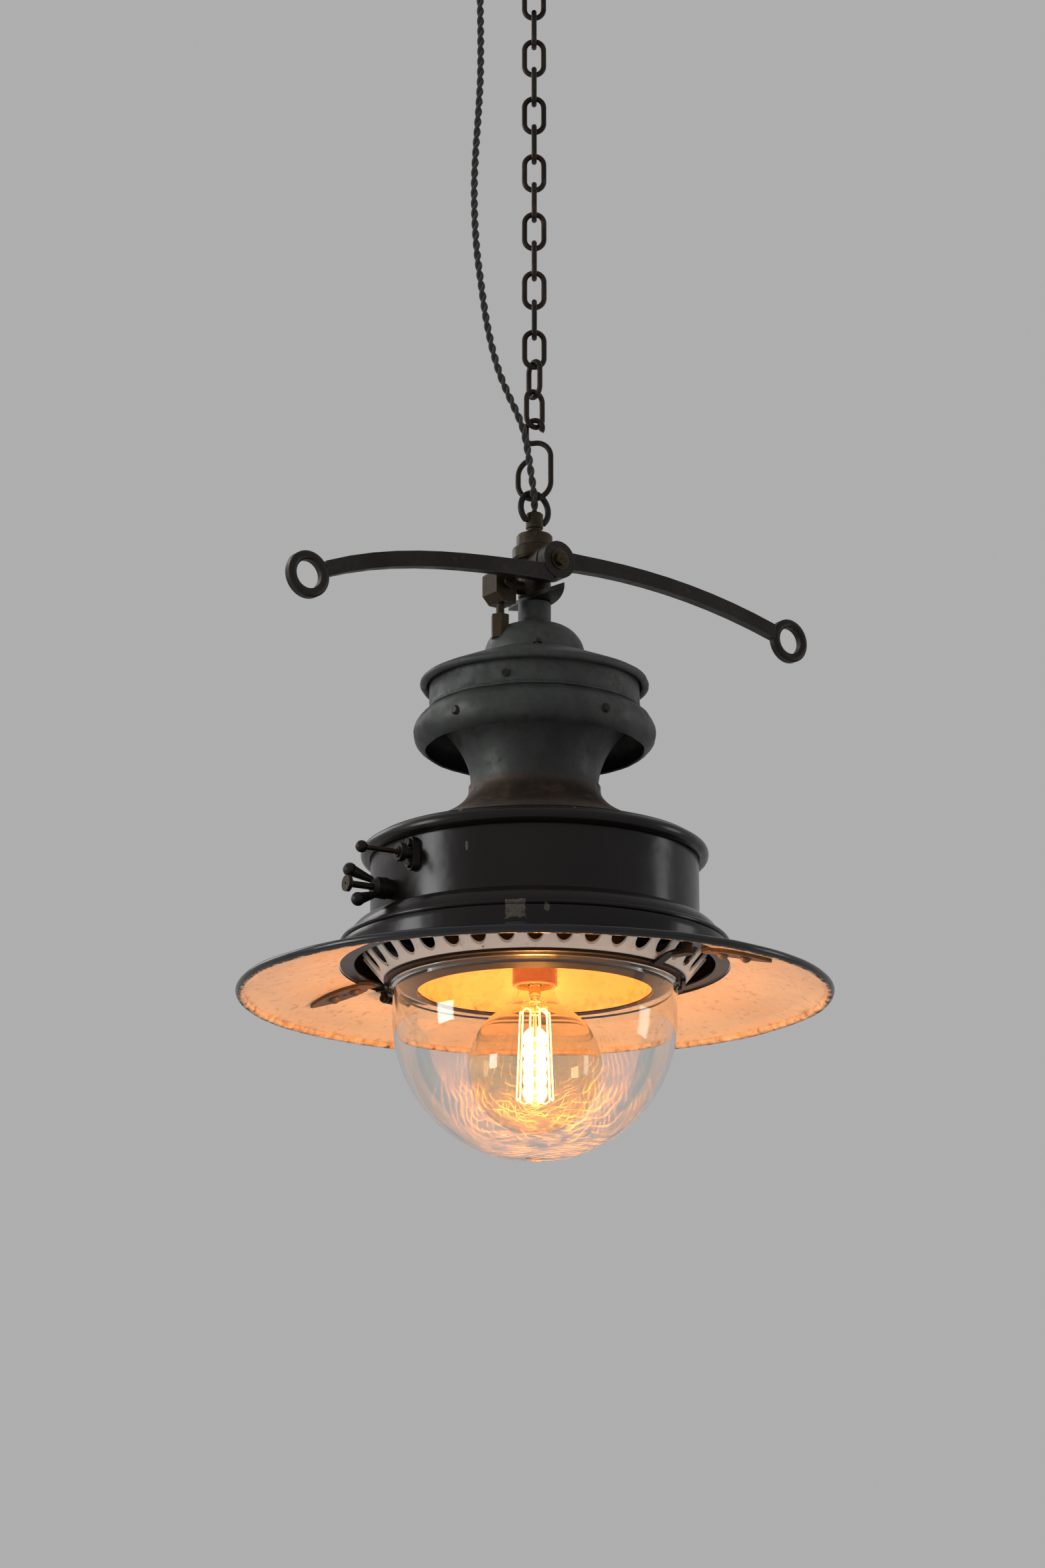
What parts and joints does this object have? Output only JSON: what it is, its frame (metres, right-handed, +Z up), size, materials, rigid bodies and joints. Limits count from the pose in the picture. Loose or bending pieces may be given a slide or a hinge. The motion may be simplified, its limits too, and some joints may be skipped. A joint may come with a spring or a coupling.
{
  "type": "railway pendant light",
  "caption": "Pendant light on a link chain and S-hook, with pull-lever cock, vented chimney, enamelled body and shade, and a hinged glass globe with a cage-filament bulb.",
  "frame": {"origin": "middle of the ceiling plate's top face", "axes": "+Z up; the lever's arms lie along X and its hub faces -Y"},
  "size_m": [0.4712, 0.424, 0.9699],
  "materials": {
    "painted_black": "satin black paint",
    "dark_steel": "dark oiled steel",
    "screw_steel": "plain steel",
    "old_brass": "dark patina",
    "braid": "black twisted cotton braid",
    "old_tin": "dark grey-green patina",
    "brown_tin": "brown patina",
    "dark_enamel": "dark vitreous enamel, gloss",
    "white_enamel": "white vitreous enamel, gloss",
    "reflector_enamel": "cream enamel",
    "brown_moulding": "brown moulded",
    "cap_brass": "worn brass",
    "clear_glass": "clear, dusty low down",
    "filament_wire": "glowing wire"
  },
  "bodies": {
    "ceiling": {"ceiling_plate": "painted_black", "ceiling_screws": "screw_steel", "ceiling_hook": "dark_steel", "hook_nut": "screw_steel", "cord_grip": "old_brass", "cord_grip_nut": "old_brass", "flex": "braid"},
    "top_link": {"top_link": "dark_steel"},
    "chain": {"chain_links": "dark_steel"},
    "s_hook": {"s_hook": "dark_steel"},
    "lamp": {"bail": "dark_steel", "inlet_nipple": "old_brass", "inner_flex": "braid", "cock_body": "old_brass", "stop_plate": "dark_steel", "bypass_block": "old_brass", "bypass_screw": "old_brass", "bypass_pipe": "old_brass", "bypass_nut": "old_brass", "stem_tube": "old_tin", "stem_locknut": "screw_steel", "chimney_cap": "old_tin", "cap_screws": "screw_steel", "chimney_lid": "old_tin", "chimney_cowl": "old_tin", "cowl_stays": "dark_steel", "chimney_waist": "old_tin", "chimney_flare": "brown_tin", "body_lid": "dark_enamel", "body_drum": "dark_enamel", "body_shoulder": "dark_enamel", "conduit": "screw_steel", "conduit_bracket": "dark_steel", "reflector": "reflector_enamel", "lampholder": "brown_moulding", "holder_ring": "brown_moulding", "bulb_cap": "cap_brass", "bulb_glass": "clear_glass", "bulb_stem": "clear_glass", "filament": "filament_wire", "shade": "dark_enamel", "shade_straps": "dark_steel", "strap_rivets": "dark_steel", "shade_bolts": "dark_steel", "hinge_bracket": "dark_steel", "hinge_pin": "dark_steel", "regulator_bosses": "dark_steel", "upper_wing": "dark_steel"},
    "lever": {"cock_plug": "old_brass", "lever": "dark_steel", "lever_screw": "old_brass", "plug_nut": "old_brass"},
    "lower_regulator": {"lower_wing": "dark_steel", "lower_screw": "old_brass"},
    "upper_regulator": {"upper_screw": "old_brass"},
    "globe_door": {"slotted_ring": "white_enamel", "globe_ring": "dark_enamel", "globe_glass": "clear_glass", "globe_clips": "dark_steel"},
    "globe_catch": {"globe_catch": "dark_steel"}
  },
  "joints": [
    {"name": "top_link_swing", "type": "hinge", "parent": "ceiling", "child": "top_link", "pos_m": [0, 0, -0.04175], "axis": [0.8, -0.6, 0], "range_deg": [-20, 20]},
    {"name": "chain_swing", "type": "hinge", "parent": "top_link", "child": "chain", "pos_m": [0, 0, -0.065], "axis": [0.6, 0.8, 0], "range_deg": [-20, 20], "deforming": ["flex"]},
    {"name": "s_hook_swing", "type": "hinge", "parent": "chain", "child": "s_hook", "pos_m": [0, 0, -0.42125], "axis": [1, 0, 0], "range_deg": [-15, 15]},
    {"name": "lamp_swing", "type": "hinge", "parent": "s_hook", "child": "lamp", "pos_m": [0, 0, -0.47755], "axis": [0.6, -0.8, 0], "range_deg": [-15, 15]},
    {"name": "lever_turn", "type": "hinge", "parent": "lamp", "child": "lever", "pos_m": [0, -0.0262, -0.53255], "axis": [0, 1, 0], "range_deg": [-15, 24]},
    {"name": "lower_regulator_turn", "type": "hinge", "parent": "lamp", "child": "lower_regulator", "pos_m": [-0.12929, 0.01359, -0.78765], "axis": [-0.9945, 0.1045, 0], "range_deg": [-90, 90]},
    {"name": "upper_regulator_turn", "type": "hinge", "parent": "lamp", "child": "upper_regulator", "pos_m": [-0.12829, -0.0151, -0.76805], "axis": [-0.9945, 0.1045, 0], "range_deg": [-90, 90]},
    {"name": "globe_hinge", "type": "hinge", "parent": "lamp", "child": "globe_door", "pos_m": [-0.03422, 0.1277, -0.83705], "axis": [0.9659, 0.2588, 0], "range_deg": [0, 75]},
    {"name": "catch_turn", "type": "hinge", "parent": "lamp", "child": "globe_catch", "pos_m": [0.03455, -0.12895, -0.83705], "axis": [0, 0, 1], "range_deg": [0, 90]}
  ]
}
